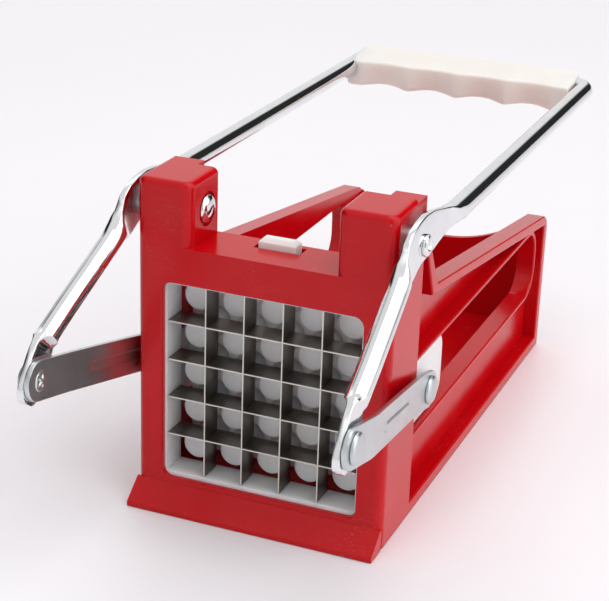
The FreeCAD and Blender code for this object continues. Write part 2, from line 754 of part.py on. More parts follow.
def slanted_rod(name, radius):
    """The round stretch between the pivot flat and the tail."""
    start = (arm_top_spread, arm_top_reach, arm_top_height)
    end = (arm_end_spread, arm_end_reach, arm_end_height)
    runs = [last - first for first, last in zip(start, end)]
    length = (runs[0] * runs[0] + runs[1] * runs[1] + runs[2] * runs[2]).root()
    item = doc.addObject("Part::Cylinder", name)
    direction = FreeCAD.Vector(*[run.number for run in runs])
    item.Placement = FreeCAD.Placement(FreeCAD.Vector(), FreeCAD.Rotation(ALONG_Z, direction))
    bind(item, "Radius", radius)
    bind(item, "Height", length)
    for axis, place in zip("xyz", start):
        bind(item, f"Placement.Base.{axis}", place)
    return item


def make_tail():
    """Flattened tail round the front rivet, drawn along its own slope from the rivet's centre."""
    reach = crank_reach - arm_end_reach
    height = crank_height - arm_end_height
    back = -(reach * reach + height * height).root()
    half = size("tail_width") / 2
    tip = size("tail_tip")
    shoulder = size("tube_diameter") / 2
    outline = [
        (back - half * 0.6, shoulder), (back + half * 0.5, half), (tip - half * 0.6, half), (tip, half * 0.5),
        (tip, -half * 0.5), (tip - half * 0.6, -half), (back + half * 0.5, -half), (back - half * 0.6, -shoulder),
    ]
    return slab("tail", outline, tail_face, tail_face + size("tail_thickness"),
                (crank_reach, crank_height), slope_of(reach, height))


def make_grip():
    """A bar with a sloping top, four finger hollows in front and a bore for the tube."""
    left = -grip_length / 2 - size("grip_shift")
    outline = [
        (grip_front, grip_bottom), (grip_rear, grip_bottom),
        (grip_rear, grip_top + size("grip_tilt")), (grip_front, grip_top),
    ]
    bar = slab("grip_bar", outline, left, left + grip_length)
    edges = straight_edges(bar, ALONG_Z, lambda spot: True)
    edges += straight_edges(bar, ALONG_X, lambda spot: True)
    bar = rounded("grip_rounded", bar, edges, size("grip_edge"))
    # A chord as wide as one finger and as deep as the hollow gives the radius
    depth = size("grip_scallop")
    pitch = size("finger_pitch")
    radius = (pitch * pitch / 4 + depth * depth) / (depth * 2)
    hollows = []
    for index in range(4):
        place = pitch * (index - 1.5) - size("grip_shift")
        hollows.append(rod(f"finger_{index + 1}", "z",
                           (place, grip_front + depth - radius, grip_bottom - over),
                           grip_top - grip_bottom + over * 3, radius))
    bore = fuse("grip_bore", lever_run("grip_bore", size("tube_diameter") / 2))
    return cut("grip", bar, fuse("grip_openings", hollows + [bore]))


# Links: flat bars with a set between their two ends and a pressed rib

link_reach = size("slide_reach") - crank_reach
link_rise = slot_middle - crank_height
link_length = (link_reach * link_reach + link_rise * link_rise).root()


def make_link(name, front_face, sign):
    """A bar lying along Y from its front rivet, then placed on the lever's tail at its slope."""
    body = new_body(name)
    rear_face = link_rear_face
    thick = size("link_thickness")
    half = size("link_width") / 2
    end = size("link_end")
    flat = size("link_front_flat")
    rear_flat = size("link_rear_flat")
    run = link_length - flat - rear_flat
    # The rib stands on the sloping middle of the outer face
    rib = size("rib_length")
    rib_start = (link_length - rib) / 2
    fall = (front_face - rear_face) / run

    def outer_at(reach):
        return front_face + thick - fall * (reach - flat)

    strip = [
        (front_face, -end), (front_face, flat), (rear_face, link_length - rear_flat),
        (rear_face, link_length + end),
        (rear_face + thick, link_length + end), (rear_face + thick, link_length - rear_flat),
        (front_face + thick, flat), (front_face + thick, -end),
    ]
    rise = size("rib_height")
    raised = [
        (outer_at(rib_start) - thick / 2, rib_start), (outer_at(rib_start + rib) - thick / 2, rib_start + rib),
        (outer_at(rib_start + rib), rib_start + rib), (outer_at(rib_start + rib - rise * 2) + rise,
                                                       rib_start + rib - rise * 2),
        (outer_at(rib_start + rise * 2) + rise, rib_start + rise * 2), (outer_at(rib_start), rib_start),
    ]
    pad_plan(body, [(across * sign, reach) for across, reach in strip], -half, half * 2)
    corners = straight_edges(body, ALONG_X, lambda spot: near(spot.y, -end) or near(spot.y, link_length + end))
    chamfer(body, corners, size("link_chamfer"))
    half_rib = size("rib_width") / 2
    pad_plan(body, [(across * sign, reach) for across, reach in raised], -half_rib, half_rib * 2)
    radius = size("rivet_diameter") / 2 + size("rivet_clearance")
    for centre in (as_size(0), link_length):
        sketch = sketch_on(body, "YZ_Plane", as_size(0))
        draw_circle(sketch, centre, as_size(0), radius)
        extrude(body, "Pocket", sketch, half_width * 2, reverse=sign > 0)
    doc.recompute()
    turn = FreeCAD.Rotation(FreeCAD.Vector(1, 0, 0), slope_of(link_reach, link_rise))
    body.Placement = FreeCAD.Placement(FreeCAD.Vector(), turn)
    bind(body, "Placement.Base.y", crank_reach)
    bind(body, "Placement.Base.z", crank_height)
    return body


tail_outer = tail_face + size("tail_thickness")
right_link_face = tail_outer + size("link_gap")
left_link_face = tail_face - size("link_gap") - size("link_thickness")
head_radius = size("rivet_head") / 2
shank_radius = size("rivet_diameter") / 2


def rivet_outline(inner, outer, head_at_outer):
    """A rivet's half section along X: shank, domed head and a small closing head."""
    rise = size("rivet_rise")
    closing = size("stub_diameter") / 2
    stub = size("stub_rise") / 2
    if head_at_outer:
        return [(inner - stub, 0), (inner - stub, closing * 0.7), (inner, closing), (inner, shank_radius),
                (outer, shank_radius), (outer, head_radius), (outer + rise * 0.5, head_radius),
                (outer + rise, head_radius * 0.6), (outer + rise, 0)]
    return [(inner - rise, 0), (inner - rise, head_radius * 0.6), (inner - rise * 0.5, head_radius),
            (inner, head_radius), (inner, shank_radius), (outer, shank_radius), (outer, closing),
            (outer + stub, closing * 0.7), (outer + stub, 0)]


def flipped(outline):
    return [(-as_size(run), radius) for run, radius in outline]


def make_rivets():
    pin = (crank_reach, crank_height)
    right_outer = right_link_face + size("link_thickness") + size("link_gap") / 2
    turned("right_front_rivet", rivet_outline(tail_face - size("link_gap") / 2, right_outer, True), *pin)
    left_inner = left_link_face - size("link_gap") / 2
    left_outer = tail_outer + size("link_gap") / 2
    turned("left_front_rivet", flipped(rivet_outline(left_inner, left_outer, True)), *pin)
    slide = (size("slide_reach"), slot_middle)
    inner = link_rear_face
    outer = inner + size("link_thickness") + size("link_gap") / 2
    rear = [(inner, 0), (inner, shank_radius), (outer, shank_radius), (outer, head_radius),
            (outer + size("rivet_rise") * 0.5, head_radius), (outer + size("rivet_rise"), head_radius * 0.6),
            (outer + size("rivet_rise"), 0)]
    turned("right_rear_rivet", rear, *slide)
    turned("left_rear_rivet", flipped(rear), *slide)


def make_pivot_hardware():
    pivot = (size("pivot_reach"), pivot_height)
    radius = size("pivot_diameter") / 2
    head = half_gap + size("screw_recess")
    end = flat_face + size("flat_thickness") + size("washer_gap")
    stub = size("stub_diameter") / 2
    screw = [(head - size("screw_rise"), 0), (head - size("screw_rise"), size("screw_head") * 0.3),
             (head - size("screw_rise") * 0.4, size("screw_head") / 2), (head, size("screw_head") / 2),
             (head, radius), (end, radius), (end, stub), (end + size("stub_rise") * 0.5, stub),
             (end + size("stub_rise"), stub * 0.7), (end + size("stub_rise"), 0)]
    turned("right_pivot_screw", screw, *pivot)
    turned("left_pivot_screw", flipped(screw), *pivot)
    bore = radius + size("pivot_clearance")
    rim = size("washer_diameter") / 2
    inner = half_width + size("washer_gap") / 2
    outer = flat_face - size("washer_gap")
    washer = [(inner, bore), (inner, rim), (outer, rim), (outer, bore)]
    turned("right_pivot_washer", washer, *pivot)
    turned("left_pivot_washer", flipped(washer), *pivot)


make_body_shell()
make_cassette_frame()
for number, place in enumerate(blade_places(), start=1):
    make_blade(f"blade_upright_{number}", place, True)
    make_blade(f"blade_level_{number}", place, False)
make_pusher()
make_lever_tube()
make_grip()
make_link("right_link", right_link_face, 1)
make_link("left_link", left_link_face, -1)
make_rivets()
make_pivot_hardware()
doc.recompute()

NODES = ["body_shell", "cassette_frame", "pusher", "lever_tube", "grip"]
for side in ("left", "right"):
    NODES += [f"{side}_link", f"{side}_front_rivet", f"{side}_rear_rivet", f"{side}_pivot_screw",
              f"{side}_pivot_washer"]
for number in range(1, int(size("cell_count").number)):
    NODES += [f"blade_upright_{number}", f"blade_level_{number}"]

for item in doc.Objects:
    if "Invalid" in item.State or "Error" in item.State:
        raise RuntimeError(f"{item.Name} failed: {item.State}")

os.makedirs("parts", exist_ok=True)
for name in NODES:
    node = doc.getObject(name)
    node.Label = name
    shape = node.Shape
    if shape.isNull() or not shape.isValid() or len(shape.Solids) != 1:
        raise RuntimeError(f"{name} has a bad shape with {len(shape.Solids)} solids")
    shape.exportStep(f"parts/{name}.step")
    print(name, round(shape.Volume, 1), shape.BoundBox)
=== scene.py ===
# %% [markdown]
# # A french fry cutter on a studio table
#
# The object is a red moulded body with a cutting window in front, a white pusher with pegs
# that slides inside it, and a bent chrome lever that drives the pusher through two flat links.
# Its measured solids are loaded first. They fix every size and every moving part, so each
# piece made here is drawn round them and then rides on the body it belongs to.

import json
import math

import bmesh
import bpy
from mathutils import Matrix, Vector


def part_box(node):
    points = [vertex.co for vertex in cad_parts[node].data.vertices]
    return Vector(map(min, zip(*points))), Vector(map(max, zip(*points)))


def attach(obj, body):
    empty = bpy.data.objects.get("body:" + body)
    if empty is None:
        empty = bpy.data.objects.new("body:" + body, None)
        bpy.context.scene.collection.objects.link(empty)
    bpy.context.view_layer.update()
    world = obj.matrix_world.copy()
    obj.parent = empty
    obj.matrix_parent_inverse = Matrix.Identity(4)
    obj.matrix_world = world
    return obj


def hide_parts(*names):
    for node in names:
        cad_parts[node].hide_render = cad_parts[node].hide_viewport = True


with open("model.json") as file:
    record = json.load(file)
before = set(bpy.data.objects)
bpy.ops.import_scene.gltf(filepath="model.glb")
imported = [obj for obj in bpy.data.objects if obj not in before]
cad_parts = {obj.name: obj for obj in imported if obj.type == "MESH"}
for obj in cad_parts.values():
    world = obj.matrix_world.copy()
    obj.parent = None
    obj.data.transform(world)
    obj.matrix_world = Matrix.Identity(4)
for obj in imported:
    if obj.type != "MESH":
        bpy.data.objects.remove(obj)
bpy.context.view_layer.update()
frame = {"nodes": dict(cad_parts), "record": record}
scene = bpy.context.scene
mm = 0.001


def box_mm(name):
    """Low and high corner of a measured node, in millimetres to a hundredth."""
    return [[round(value / mm, 2) for value in corner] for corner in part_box(name)]


def axis_mm(name):
    """Where the axis of a turned node stands in the side view: Y and Z in millimetres."""
    low, high = box_mm(name)
    return round((low[1] + high[1]) / 2, 1), round((low[2] + high[2]) / 2, 1)


# %% [markdown]
# ## Camera
#
# The photograph was taken from the front right, a little above the object, with a long lens.
# The angles below came from lining up the corners of the body with the picture. The camera's
# axes are worked out from azimuth, elevation and a slight roll, so no target object is needed.

# %% The photograph's camera
AZIMUTH, ELEVATION, ROLL = 21.85, 21.92, 1.96
FOCAL_PX, PICTURE_WIDTH = 1700.6, 609
CAMERA_AT = Vector((236.1, -544.4, 334.6)) * mm


def camera_axes(azimuth, elevation, roll):
    """Right, up and back vectors of a camera at these angles, in degrees."""
    a, e, r = (math.radians(v) for v in (azimuth, elevation, roll))
    back = Vector((math.sin(a) * math.cos(e), -math.cos(a) * math.cos(e), math.sin(e)))
    right = Vector((math.cos(a), math.sin(a), 0.0))
    up = back.cross(right)
    return right * math.cos(r) + up * math.sin(r), up * math.cos(r) - right * math.sin(r), back


lens = bpy.data.cameras.new("photo_lens")
lens.sensor_width = 36.0
lens.lens = FOCAL_PX * lens.sensor_width / PICTURE_WIDTH
lens.clip_end = 50.0
camera = bpy.data.objects.new("photo_camera", lens)
scene.collection.objects.link(camera)
right, up, back = camera_axes(AZIMUTH, ELEVATION, ROLL)
turn = Matrix((right, up, back)).transposed().to_4x4()
camera.matrix_world = Matrix.Translation(CAMERA_AT) @ turn
scene.camera = camera
print("lens mm:", round(lens.lens, 2))

# %% [markdown]
# ## Light
#
# Glossy plastic and chrome show the room, so the room is built from a few soft bright areas
# on a dim background. One is overhead, one at the back left, where the tops of the red body
# mirror it and turn pink, one at the right and one in front. The back right stays dark and
# gives the black band along the upper tubes. A lamp above makes the soft shadow. The camera
# itself sees a plain pale backdrop.

# %% World and lamp
scene.view_settings.view_transform = "Standard"
world = bpy.data.worlds.new("studio")
scene.world = world
world.use_nodes = True


def link(tree, source, target):
    tree.links.new(source, target)


def node(tree, kind, **values):
    """A new node with its plain properties and input values set by name."""
    made = tree.nodes.new(kind)
    for name, value in values.items():
        if name.startswith("_"):
            setattr(made, name[1:], value)
        else:
            made.inputs[name.replace("_", " ")].default_value = value
    return made


def math_node(tree, operation, first, second=0.0):
    """One step of arithmetic on numbers or sockets."""
    made = tree.nodes.new("ShaderNodeMath")
    made.operation = operation
    for socket, value in zip(made.inputs, (first, second)):
        if isinstance(value, (int, float)):
            socket.default_value = value
        else:
            link(tree, value, socket)
    return made.outputs[0]


sky = world.node_tree
sky.nodes.clear()
direction = node(sky, "ShaderNodeTexCoord")


def glow(towards, outer, inner, level):
    """Light from one part of the sky: full within the inner angle, none past the outer."""
    aim = Vector(towards).normalized()
    facing = node(sky, "ShaderNodeVectorMath", _operation="DOT_PRODUCT")
    link(sky, direction.outputs["Generated"], facing.inputs[0])
    facing.inputs[1].default_value = aim
    spread = node(sky, "ShaderNodeMapRange", _interpolation_type="SMOOTHSTEP")
    spread.inputs["From Min"].default_value = math.cos(math.radians(outer))
    spread.inputs["From Max"].default_value = math.cos(math.radians(inner))
    spread.inputs["To Max"].default_value = level
    link(sky, facing.outputs["Value"], spread.inputs["Value"])
    return spread.outputs["Result"]


DIM_ROOM = 0.025
BACKDROP = (0.93, 0.91, 0.95, 1.0)
# Direction, outer and inner angle in degrees, and level of each bright area
BRIGHT_AREAS = (
    ((0.0, 0.05, 1.0), 56, 40, 0.80),
    ((-0.45, 0.80, 0.42), 36, 26, 0.84),
    ((0.95, -0.02, 0.32), 55, 25, 1.65),
    ((-0.15, -0.95, 0.28), 48, 15, 0.76),
)

studio = DIM_ROOM
for area in BRIGHT_AREAS:
    studio = math_node(sky, "ADD", glow(*area), studio)
rays = node(sky, "ShaderNodeLightPath")
choose = node(sky, "ShaderNodeMix", _data_type="RGBA")
link(sky, rays.outputs["Is Camera Ray"], choose.inputs["Factor"])
link(sky, studio, choose.inputs["A"])
choose.inputs["B"].default_value = BACKDROP
background = node(sky, "ShaderNodeBackground", Strength=1.0)
link(sky, choose.outputs["Result"], background.inputs["Color"])
world_out = node(sky, "ShaderNodeOutputWorld")
link(sky, background.outputs[0], world_out.inputs["Surface"])


def soft_lamp(name, place, target, size, watts):
    """A square area lamp aimed at a point, all in metres."""
    data = bpy.data.lights.new(name, "AREA")
    data.size = size
    data.energy = watts
    lamp = bpy.data.objects.new(name, data)
    scene.collection.objects.link(lamp)
    aim = (Vector(target) - Vector(place)).to_track_quat("-Z", "Y")
    lamp.matrix_world = Matrix.Translation(Vector(place)) @ aim.to_matrix().to_4x4()


soft_lamp("overhead", place=(0.25, 0.10, 1.4), target=(0, 0.1, 0.05), size=0.7, watts=4.0)

# %% [markdown]
# ## Shared effects
#
# Moulded plastic, chrome and zinc plate all show the same few things in different strengths:
# soft cloudy variation, fine specks of dust, and thin scratches. Each is a shader group made
# once. A group gives out only values that change over the surface; the shader that uses them
# stays in the material.

# %% Shader groups


def new_group(name, inputs, outputs):
    """An empty shader group with float inputs (name, default) and float outputs."""
    group = bpy.data.node_groups.new(name, "ShaderNodeTree")
    face = group.interface
    for label, value in inputs:
        socket = face.new_socket(name=label, in_out="INPUT", socket_type="NodeSocketFloat")
        socket.default_value = value
    for label in outputs:
        face.new_socket(name=label, in_out="OUTPUT", socket_type="NodeSocketFloat")
    start = group.nodes.new("NodeGroupInput")
    end = group.nodes.new("NodeGroupOutput")
    return group, start, end


def object_place(tree, stretch=(1.0, 1.0, 1.0)):
    """Object coordinates in metres, scaled along each axis."""
    coordinates = node(tree, "ShaderNodeTexCoord")
    mapping = node(tree, "ShaderNodeMapping")
    mapping.inputs["Scale"].default_value = stretch
    link(tree, coordinates.outputs["Object"], mapping.inputs["Vector"])
    return mapping.outputs["Vector"]


def noise(tree, place, scale, detail=3.0, roughness=0.55):
    """Soft noise from 0 to 1; scale is a number or a socket."""
    made = node(tree, "ShaderNodeTexNoise", Detail=detail, Roughness=roughness)
    if isinstance(scale, (int, float)):
        made.inputs["Scale"].default_value = scale
    else:
        link(tree, scale, made.inputs["Scale"])
    link(tree, place, made.inputs["Vector"])
    return made.outputs["Fac"]


def between(tree, value, low, high):
    """Stretches the part of a value between low and high to 0..1."""
    made = node(tree, "ShaderNodeMapRange", _clamp=True)
    made.inputs["From Min"].default_value = low
    made.inputs["From Max"].default_value = high
    link(tree, value, made.inputs["Value"])
    return made.outputs["Result"]


def build_cloud():
    """Slow variation, as in moulded plastic or a dull plated skin."""
    group, start, end = new_group("cloudy_variation", [("Scale", 40.0)], ["Cloud"])
    value = noise(group, object_place(group), start.outputs["Scale"], 4.0, 0.6)
    link(group, between(group, value, 0.3, 0.7), end.inputs["Cloud"])
    return group


def build_dust():
    """Small bright specks where a round cell of a fine pattern is very near its centre."""
    group, start, end = new_group("dust_specks", [("Scale", 420.0), ("Amount", 0.1)], ["Speck"])
    cells = node(group, "ShaderNodeTexVoronoi", Randomness=1.0)
    link(group, object_place(group), cells.inputs["Vector"])
    link(group, start.outputs["Scale"], cells.inputs["Scale"])
    near = between(group, cells.outputs["Distance"], 0.16, 0.06)
    chance = node(group, "ShaderNodeSeparateColor")
    link(group, cells.outputs["Color"], chance.inputs["Color"])
    chosen = math_node(group, "LESS_THAN", chance.outputs[0], start.outputs["Amount"])
    link(group, math_node(group, "MULTIPLY", near, chosen), end.inputs["Speck"])
    return group


def build_scratches():
    """Two crossed families of fine stretched lines."""
    group, start, end = new_group("fine_scratches", [("Scale", 60.0), ("Cover", 0.3)], ["Scratch"])
    lines = None
    for stretch in ((1.0, 14.0, 11.0), (13.0, 1.0, 16.0)):
        value = noise(group, object_place(group, stretch), start.outputs["Scale"], 2.0, 0.5)
        ridge = math_node(group, "ABSOLUTE", math_node(group, "SUBTRACT", value, 0.5))
        line = between(group, ridge, 0.008, 0.0)
        lines = line if lines is None else math_node(group, "MAXIMUM", lines, line)
    patch = between(group, noise(group, object_place(group), 35.0, 2.0), 0.5, 0.75)
    patchy = math_node(group, "MULTIPLY", lines, patch)
    shown = math_node(group, "MULTIPLY", patchy, start.outputs["Cover"])
    link(group, shown, end.inputs["Scratch"])
    return group


CLOUD, DUST, SCRATCHES = build_cloud(), build_dust(), build_scratches()


def use_group(tree, group, **values):
    """The value that a shader group gives with these inputs."""
    made = tree.nodes.new("ShaderNodeGroup")
    made.node_tree = group
    for name, value in values.items():
        made.inputs[name].default_value = value
    return made.outputs[0]


print("shader groups:", [group.name for group in (CLOUD, DUST, SCRATCHES)])

# %% [markdown]
# ## Finishes
#
# Every finish is a Principled shader. Numbers that are the same all over are set on its own
# sockets. Colour, roughness and the small relief come from the groups above.

# %% A finish builder


def mix_colour(tree, factor, first, second):
    """The first colour where the factor is 0 and the second where it is 1."""
    made = node(tree, "ShaderNodeMix", _data_type="RGBA")
    link(tree, factor, made.inputs["Factor"])
    for slot, value in (("A", first), ("B", second)):
        if isinstance(value, tuple):
            made.inputs[slot].default_value = (*value, 1.0)
        else:
            link(tree, value, made.inputs[slot])
    return made.outputs["Result"]


def mix_value(tree, factor, low, high):
    """low where the factor is 0 and high where it is 1."""
    return math_node(tree, "ADD", math_node(tree, "MULTIPLY", factor, high - low), low)


def bump(tree, height, distance, strength):
    """Small relief from a height value; distance is its depth in metres."""
    made = node(tree, "ShaderNodeBump", Strength=strength, Distance=distance)
    link(tree, height, made.inputs["Height"])
    return made.outputs["Normal"]


def finish(name, **values):
    """A material with one Principled shader; returns it with its tree and shader."""
    material = bpy.data.materials.new(name)
    material.use_nodes = True
    tree = material.node_tree
    tree.nodes.clear()
    shader = node(tree, "ShaderNodeBsdfPrincipled")
    for key, value in values.items():
        shader.inputs[key.replace("_", " ")].default_value = value
    out = node(tree, "ShaderNodeOutputMaterial")
    link(tree, shader.outputs[0], out.inputs["Surface"])
    return material, tree, shader


# %% Red moulded plastic, for the body
def red_plastic():
    material, tree, shader = finish("red_plastic", IOR=1.5, Specular_IOR_Level=0.27)
    cloud = use_group(tree, CLOUD, Scale=22.0)
    speck = use_group(tree, DUST, Scale=300.0, Amount=0.055)
    scratch = use_group(tree, SCRATCHES, Scale=45.0, Cover=0.35)
    colour = mix_colour(tree, cloud, (0.50, 0.0010, 0.0040), (0.55, 0.0014, 0.0055))
    worn = math_node(tree, "MAXIMUM", math_node(tree, "MULTIPLY", speck, 0.35), scratch)
    link(tree, mix_colour(tree, worn, colour, (0.70, 0.16, 0.16)), shader.inputs["Base Color"])
    flow = use_group(tree, CLOUD, Scale=260.0)
    dulled = math_node(tree, "MULTIPLY", worn, 0.3)
    rough = math_node(tree, "ADD", mix_value(tree, cloud, 0.15, 0.21), dulled)
    link(tree, rough, shader.inputs["Roughness"])
    link(tree, bump(tree, flow, 0.00003, 0.6), shader.inputs["Normal"])
    return material


# %% White moulded plastic, for the cassette, the pusher and the grip
def white_plastic(name, first, second, depth):
    """A milky plastic between two tones; depth is how far light spreads inside, in metres."""
    material, tree, shader = finish(name, IOR=1.5, Subsurface_Weight=0.7, Subsurface_Scale=1.0)
    shader.inputs["Subsurface Radius"].default_value = (depth, depth * 0.8, depth * 0.65)
    cloud = use_group(tree, CLOUD, Scale=30.0)
    speck = use_group(tree, DUST, Scale=350.0, Amount=0.03)
    colour = mix_colour(tree, cloud, first, second)
    faint = math_node(tree, "MULTIPLY", speck, 0.4)
    link(tree, mix_colour(tree, faint, colour, (0.35, 0.32, 0.30)), shader.inputs["Base Color"])
    link(tree, mix_value(tree, cloud, 0.30, 0.42), shader.inputs["Roughness"])
    flow = use_group(tree, CLOUD, Scale=400.0)
    link(tree, bump(tree, flow, 0.00003, 0.5), shader.inputs["Normal"])
    return material


# %% Metals: bright chrome, dull zinc plate and blade steel with a painted edge highlight
def chrome():
    material, tree, shader = finish("chrome", Metallic=1.0)
    cloud = use_group(tree, CLOUD, Scale=60.0)
    speck = use_group(tree, DUST, Scale=260.0, Amount=0.04)
    scratch = use_group(tree, SCRATCHES, Scale=50.0, Cover=0.5)
    marks = math_node(tree, "MAXIMUM", math_node(tree, "MULTIPLY", speck, 0.7), scratch)
    bright = mix_colour(tree, cloud, (0.78, 0.79, 0.81), (0.86, 0.87, 0.88))
    link(tree, mix_colour(tree, marks, bright, (0.30, 0.29, 0.28)), shader.inputs["Base Color"])
    dulled = math_node(tree, "MULTIPLY", marks, 0.3)
    rough = math_node(tree, "ADD", mix_value(tree, cloud, 0.05, 0.10), dulled)
    link(tree, rough, shader.inputs["Roughness"])
    waves = use_group(tree, CLOUD, Scale=130.0)
    link(tree, bump(tree, waves, 0.00005, 0.35), shader.inputs["Normal"])
    return material


def zinc_plate():
    material, tree, shader = finish("zinc_plate", Metallic=1.0)
    cloud = use_group(tree, CLOUD, Scale=45.0)
    fine = use_group(tree, CLOUD, Scale=500.0)
    scratch = use_group(tree, SCRATCHES, Scale=70.0, Cover=0.6)
    tone = mix_colour(tree, cloud, (0.56, 0.60, 0.62), (0.66, 0.69, 0.69))
    link(tree, mix_colour(tree, scratch, tone, (0.80, 0.81, 0.80)), shader.inputs["Base Color"])
    link(tree, mix_value(tree, fine, 0.27, 0.38), shader.inputs["Roughness"])
    link(tree, bump(tree, fine, 0.00004, 0.5), shader.inputs["Normal"])
    return material


def blade_steel():
    """Brushed strip steel with a painted highlight: a pale colour painted along its sharpened front edge.
    """
    material, tree, shader = finish("blade_steel", Metallic=1.0)
    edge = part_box("blade_upright_1")[0][1]
    place = node(tree, "ShaderNodeSeparateXYZ")
    link(tree, object_place(tree), place.inputs[0])
    # Painted highlight: the front 0.3 to 0.6 mm of each blade is painted pale, standing in for the bright
    # line a lit edge shows
    painted_edge_highlight = between(tree, place.outputs["Y"], edge + 0.0006, edge + 0.0003)
    grain = noise(tree, object_place(tree, (4.0, 60.0, 4.0)), 60.0, 3.0)
    streaks = between(tree, grain, 0.35, 0.65)
    plain = mix_colour(tree, streaks, (0.20, 0.185, 0.165), (0.29, 0.27, 0.245))
    link(tree, mix_colour(tree, painted_edge_highlight, plain, (0.66, 0.63, 0.58)), shader.inputs["Base Color"])
    link(tree, mix_value(tree, grain, 0.30, 0.44), shader.inputs["Roughness"])
    link(tree, bump(tree, grain, 0.00002, 0.4), shader.inputs["Normal"])
    return material


COOL_WHITE = ((0.80, 0.79, 0.795), (0.85, 0.84, 0.845))
WARM_WHITE = ((0.83, 0.78, 0.735), (0.88, 0.84, 0.80))

FINISHES = {
    "red_plastic": red_plastic(),
    "white_plastic": white_plastic("white_plastic", *COOL_WHITE, depth=0.004),
    "grip_plastic": white_plastic("grip_plastic", *WARM_WHITE, depth=0.006),
    "chrome": chrome(),
    "zinc_plate": zinc_plate(),
    "blade_steel": blade_steel(),
}
print("finishes:", sorted(FINISHES))

# %% Give every measured node its finish
slot_of = {entry["node"]: entry["material_slot"] for entry in frame["record"]["subparts"]}
for name, item in frame["nodes"].items():
    item.data.materials.clear()
    item.data.materials.append(FINISHES[slot_of[name]])

# %% [markdown]
# ## Mesh helpers
#
# Most pieces are skins: a list of closed rings joined one to the next, with a cap at each
# open end. Working in millimetres and turning them to metres once, when the mesh is made,
# keeps the numbers the same as a maker would read off the real piece.

# %% Rings to mesh
SMOOTH_ANGLE = math.radians(32)
SAME_POINT = 0.00001


def add_piece(name, points, faces, finish_name):
    """A mesh object from points in millimetres, with its finish and crisp edges kept."""
    mesh = bpy.data.meshes.new(name)
    mesh.from_pydata([Vector(point) * mm for point in points], [], faces)
    work = bmesh.new()
    work.from_mesh(mesh)
    bmesh.ops.remove_doubles(work, verts=work.verts, dist=SAME_POINT)
    bmesh.ops.recalc_face_normals(work, faces=work.faces)
    work.to_mesh(mesh)
    work.free()
    mesh.polygons.foreach_set("use_smooth", [True] * len(mesh.polygons))
    mesh.set_sharp_from_angle(angle=SMOOTH_ANGLE)
    mesh.materials.append(FINISHES[finish_name])
    item = bpy.data.objects.new(name, mesh)
    scene.collection.objects.link(item)
    return item


def skin(rings, closed_ends=True):
    """Points and faces of a skin over rings that all have the same number of points."""
    count = len(rings[0])
    points = [point for ring in rings for point in ring]
    faces = []
    for row in range(len(rings) - 1):
        for step in range(count):
            first = row * count + step
            second = row * count + (step + 1) % count
            faces.append((first, second, second + count, first + count))
    if closed_ends:
        faces.append(tuple(range(count)))
        last = (len(rings) - 1) * count
        faces.append(tuple(range(last, last + count)))
    return points, faces


def settle(item, body, measured):
    """The piece rides on a body and stands for a measured node, which is hidden."""
    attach(item, body)
    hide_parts(measured)
    print(item.name, "faces:", len(item.data.polygons))


# %% [markdown]
# ## Lever
#
# The lever is one chromed tube bent into a U. It is squeezed flat where it turns on the body
# and again at each front end, and each squeeze leaves a curved step like a fish's mouth. A
# plain curve with a bevel cannot change its section, so the tube is a skin over stations.
# Each station gives the upper and lower edge of the outline seen from the side as Y and Z,
# the place across the object, and how round it is at its upper and lower edge: 0 is flat and
# 1 is round.

# %% Stations along the right-hand arm
TUBE_RADIUS, FLAT_HALF = 4.3, 1.55
TAIL_X, ARM_X, PIVOT_X = 60.4, 58.6, 57.2
BEND, BAR_Y, BAR_Z = 9.5, 261.0, 125.0
ARM_TOP, ARM_LOW = BAR_Z + TUBE_RADIUS, BAR_Z - TUBE_RADIUS
ARM_END = BAR_Y - BEND
RING_POINTS = 48
STATION_GAP = 3.0
# Powers of the section's rounded rectangle where the tube is squeezed and where it is round
FLAT_POWER, ROUND_POWER = 7.0, 2.0
CRANK = axis_mm("right_front_rivet")
TAIL_SLOPE = (0.60, 0.80)


def tail_station(run, half, round_top=0.0):
    """A station on the front end, at a distance up its slope from the rivet's centre."""
    y, z = CRANK[0] + TAIL_SLOPE[0] * run, CRANK[1] + TAIL_SLOPE[1] * run
    out_y, out_z = -TAIL_SLOPE[1] * half, TAIL_SLOPE[0] * half
    return y + out_y, z + out_z, y - out_y, z - out_z, TAIL_X, round_top, 0.0


